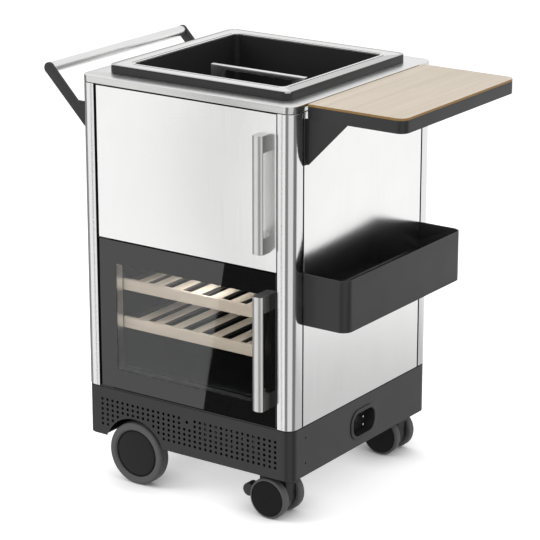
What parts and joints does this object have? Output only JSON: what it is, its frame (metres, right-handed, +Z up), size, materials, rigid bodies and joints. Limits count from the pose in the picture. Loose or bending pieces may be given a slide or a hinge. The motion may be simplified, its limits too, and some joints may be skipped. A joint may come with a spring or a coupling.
{
  "type": "mobile bar cart",
  "caption": "Square steel bar cart on fixed wheels and castors, with an ice basin on top, an upper door, a glass wine door, a push handle, a side board and a tray.",
  "frame": {"origin": "on the floor under the middle of the whole cart, push handle and side board included", "axes": "+Z up, +X along the front towards the side board, -Y towards someone who opens the doors"},
  "size_m": [0.991, 0.63, 1.019],
  "materials": {
    "brushed_panel": "brushed, fine vertical grain",
    "brushed_post": "brushed along its length",
    "worktop_steel": "brushed along its width",
    "satin_steel": "satin",
    "black_metal": "satin black powder coat",
    "chassis_metal": "matt dark grey",
    "black_plastic": "satin black",
    "grey_plastic": "matt grey",
    "tinted_glass": "dark tinted, polished",
    "clear_glass": "clear, polished",
    "pale_wood": "oiled, pale",
    "board_wood": "oiled, pale with a fine grain",
    "grey_rubber": "matt grey rubber",
    "gasket_rubber": "soft, matt",
    "liner_white": "smooth white",
    "liner_dark": "smooth dark grey",
    "foam": "closed-cell foam",
    "trim_bright": "satin bright",
    "pin_steel": "turned",
    "fins": "bare"
  },
  "bodies": {
    "cart": {"chassis_pan": "chassis_metal", "chassis_deck": "chassis_metal", "plinth_skirt": "black_metal", "wheel_axle": "pin_steel", "post_front_left": "brushed_post", "post_front_right": "brushed_post", "post_rear_left": "brushed_post", "post_rear_right": "brushed_post", "side_panel_left": "brushed_panel", "side_panel_right": "brushed_panel", "back_panel": "brushed_panel", "insulation": "foam", "front_frame": "black_plastic", "upper_liner": "liner_white", "lower_liner": "liner_dark", "shelf_runners": "liner_dark", "worktop": "worktop_steel", "basin_collar": "black_plastic", "basin_flange": "satin_steel", "basin_tub": "black_plastic", "basin_drain": "pin_steel", "hinge_plates": "pin_steel", "push_arms": "black_metal", "push_bar": "satin_steel", "hook_pegs": "pin_steel", "inlet_bezel": "black_plastic", "inlet_pins": "pin_steel", "compressor": "black_metal", "condenser": "fins", "fan_housing": "black_plastic", "control_box": "grey_plastic"},
    "fan": {"fan_rotor": "grey_plastic"},
    "upper_door": {"upper_door_skin": "brushed_panel", "upper_door_core": "liner_white", "upper_door_gasket": "gasket_rubber", "upper_door_handle": "satin_steel"},
    "lower_door": {"lower_door_frame": "black_plastic", "window_lining": "trim_bright", "lower_door_glass": "tinted_glass", "lower_door_inner_glass": "clear_glass", "lower_door_gasket": "gasket_rubber", "lower_door_handle": "satin_steel"},
    "upper_shelf": {"upper_wine_shelf": "pale_wood"},
    "lower_shelf": {"lower_wine_shelf": "pale_wood"},
    "divider": {"basin_divider": "satin_steel"},
    "board": {"board_frame": "black_metal", "side_board": "board_wood"},
    "tray": {"bottle_tray": "black_metal"},
    "front_wheel": {"front_wheel_tyre": "grey_rubber", "front_wheel_hub": "black_plastic"},
    "back_wheel": {"back_wheel_tyre": "grey_rubber", "back_wheel_hub": "black_plastic"},
    "front_castor": {"front_castor_housing": "black_plastic"},
    "front_castor_outer": {"front_castor_outer_wheel": "grey_rubber"},
    "front_castor_inner": {"front_castor_inner_wheel": "grey_rubber"},
    "front_pedal": {"front_castor_pedal": "black_plastic"},
    "back_castor": {"back_castor_housing": "black_plastic"},
    "back_castor_outer": {"back_castor_outer_wheel": "grey_rubber"},
    "back_castor_inner": {"back_castor_inner_wheel": "grey_rubber"},
    "back_pedal": {"back_castor_pedal": "black_plastic"}
  },
  "joints": [
    {"name": "upper_door_hinge", "type": "hinge", "parent": "cart", "child": "upper_door", "pos_m": [-0.3095, -0.274, 0.7955], "axis": [0, 0, -1], "range_deg": [0, 100]},
    {"name": "lower_door_hinge", "type": "hinge", "parent": "cart", "child": "lower_door", "pos_m": [-0.3095, -0.274, 0.423], "axis": [0, 0, -1], "range_deg": [0, 100]},
    {"name": "upper_shelf_slide", "type": "slide", "parent": "cart", "child": "upper_shelf", "axis": [0, -1, 0], "range_m": [0, 0.067]},
    {"name": "lower_shelf_slide", "type": "slide", "parent": "cart", "child": "lower_shelf", "axis": [0, -1, 0], "range_m": [0, 0.067]},
    {"name": "divider_lift", "type": "slide", "parent": "cart", "child": "divider", "axis": [0, 0, 1], "range_m": [0, 0.23]},
    {"name": "board_lift_off", "type": "slide", "parent": "cart", "child": "board", "axis": [0.7071, 0, 0.7071], "range_m": [0, 0.38]},
    {"name": "tray_lift_off", "type": "slide", "parent": "cart", "child": "tray", "axis": [0.7071, 0, 0.7071], "range_m": [0, 0.3]},
    {"name": "front_wheel_spin", "type": "hinge", "parent": "cart", "child": "front_wheel", "pos_m": [-0.2185, -0.265, 0.078], "axis": [0, 1, 0], "continuous": true},
    {"name": "back_wheel_spin", "type": "hinge", "parent": "cart", "child": "back_wheel", "pos_m": [-0.2185, 0.295, 0.078], "axis": [0, 1, 0], "continuous": true},
    {"name": "front_castor_swivel", "type": "hinge", "parent": "cart", "child": "front_castor", "pos_m": [0.1845, -0.231, 0.1], "axis": [0, 0, 1], "continuous": true},
    {"name": "front_castor_outer_spin", "type": "hinge", "parent": "front_castor", "child": "front_castor_outer", "pos_m": [0.1635, -0.263, 0.05], "axis": [0, 1, 0], "continuous": true},
    {"name": "front_castor_inner_spin", "type": "hinge", "parent": "front_castor", "child": "front_castor_inner", "pos_m": [0.1635, -0.199, 0.05], "axis": [0, 1, 0], "continuous": true},
    {"name": "front_pedal_press", "type": "hinge", "parent": "front_castor", "child": "front_pedal", "pos_m": [0.1395, -0.231, 0.08], "axis": [0, -1, 0], "range_deg": [0, 15]},
    {"name": "back_castor_swivel", "type": "hinge", "parent": "cart", "child": "back_castor", "pos_m": [0.1845, 0.261, 0.1], "axis": [0, 0, 1], "continuous": true},
    {"name": "back_castor_outer_spin", "type": "hinge", "parent": "back_castor", "child": "back_castor_outer", "pos_m": [0.1635, 0.293, 0.05], "axis": [0, 1, 0], "continuous": true},
    {"name": "back_castor_inner_spin", "type": "hinge", "parent": "back_castor", "child": "back_castor_inner", "pos_m": [0.1635, 0.229, 0.05], "axis": [0, 1, 0], "continuous": true},
    {"name": "back_pedal_press", "type": "hinge", "parent": "back_castor", "child": "back_pedal", "pos_m": [0.1395, 0.261, 0.08], "axis": [0, -1, 0], "range_deg": [0, 15]},
    {"name": "fan_spin", "type": "hinge", "parent": "cart", "child": "fan", "pos_m": [0.0295, -0.1985, 0.168], "axis": [0, 1, 0], "continuous": true}
  ],
  "couplings": [
    {"joint": "upper_shelf_slide", "follows": "lower_door_hinge", "m_per_rad": 0.038},
    {"joint": "lower_shelf_slide", "follows": "lower_door_hinge", "m_per_rad": 0.038}
  ]
}
